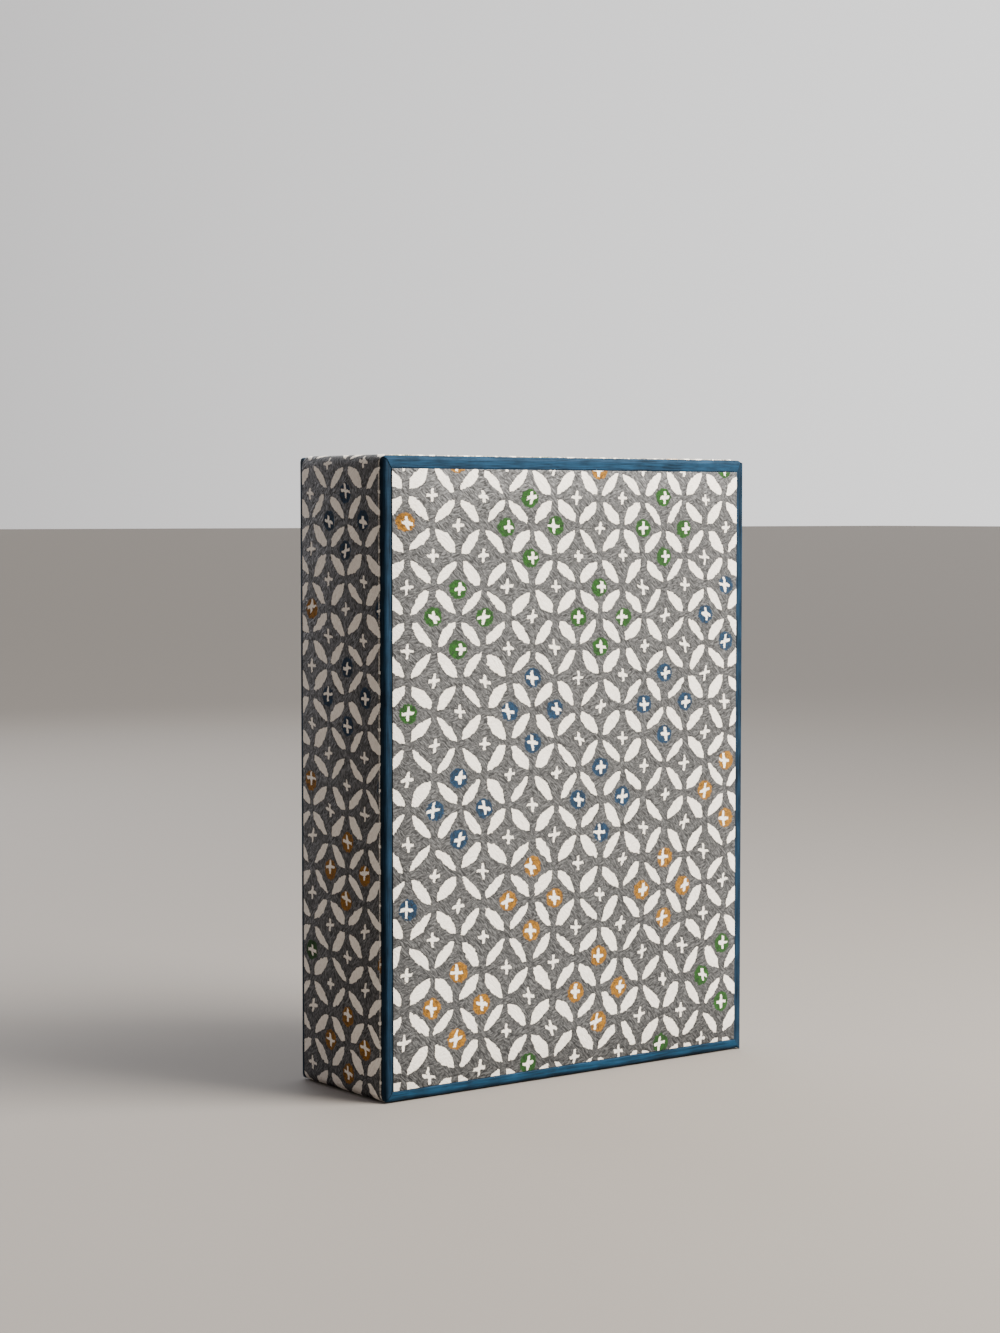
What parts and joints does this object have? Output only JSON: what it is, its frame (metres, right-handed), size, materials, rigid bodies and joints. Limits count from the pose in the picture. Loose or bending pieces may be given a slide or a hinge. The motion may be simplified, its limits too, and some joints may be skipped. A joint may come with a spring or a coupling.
{
  "type": "clamshell book box",
  "caption": "Book-shaped clamshell box for papers: two nesting three-walled trays in a hinged case, pattern-papered walls and panels with blue cloth edges.",
  "frame": {"origin": "middle of the closed box's foot, on the surface it stands on", "axes": "+X from the fore-edge to the spine, +Y from the front board to the back board, +Z from tail to head"},
  "size_m": [0.165, 0.0544, 0.225],
  "materials": {
    "greyboard": "bare grey binder's board",
    "blue_bookcloth": "fine matt blue bookcloth",
    "patterned_paper": "matt printed paper, white on grey",
    "blue_paper": "plain matt blue paper",
    "lining_paper": "plain off-white laid paper"
  },
  "bodies": {
    "back_half": {"back_board": "greyboard", "back_cloth": "blue_bookcloth", "back_panel": "patterned_paper", "inner_tray_base": "greyboard", "inner_tray_head_wall": "greyboard", "inner_tray_tail_wall": "greyboard", "inner_tray_fore_edge_wall": "greyboard", "inner_tray_wrap": "blue_paper", "inner_tray_wall_lining": "lining_paper", "inner_tray_floor_lining": "lining_paper"},
    "spine": {"spine_board": "greyboard", "spine_cloth": "blue_bookcloth", "spine_panel": "patterned_paper", "spine_lining": "lining_paper"},
    "front_half": {"front_board": "greyboard", "front_cloth": "blue_bookcloth", "front_panel": "patterned_paper", "outer_tray_base": "greyboard", "outer_tray_head_wall": "greyboard", "outer_tray_tail_wall": "greyboard", "outer_tray_fore_edge_wall": "greyboard", "outer_tray_wrap": "patterned_paper", "outer_tray_wall_lining": "lining_paper", "outer_tray_floor_lining": "lining_paper"}
  },
  "joints": [
    {"name": "back_fold", "type": "hinge", "parent": "back_half", "child": "spine", "pos_m": [0.0823, 0.02705, 0.1125], "axis": [0, 0, 1], "range_deg": [0, 90]},
    {"name": "front_fold", "type": "hinge", "parent": "spine", "child": "front_half", "pos_m": [0.0823, -0.02705, 0.1125], "axis": [0, 0, 1], "range_deg": [0, 90]}
  ],
  "couplings": [
    {"joint": "front_fold", "follows": "back_fold", "ratio": 1}
  ]
}
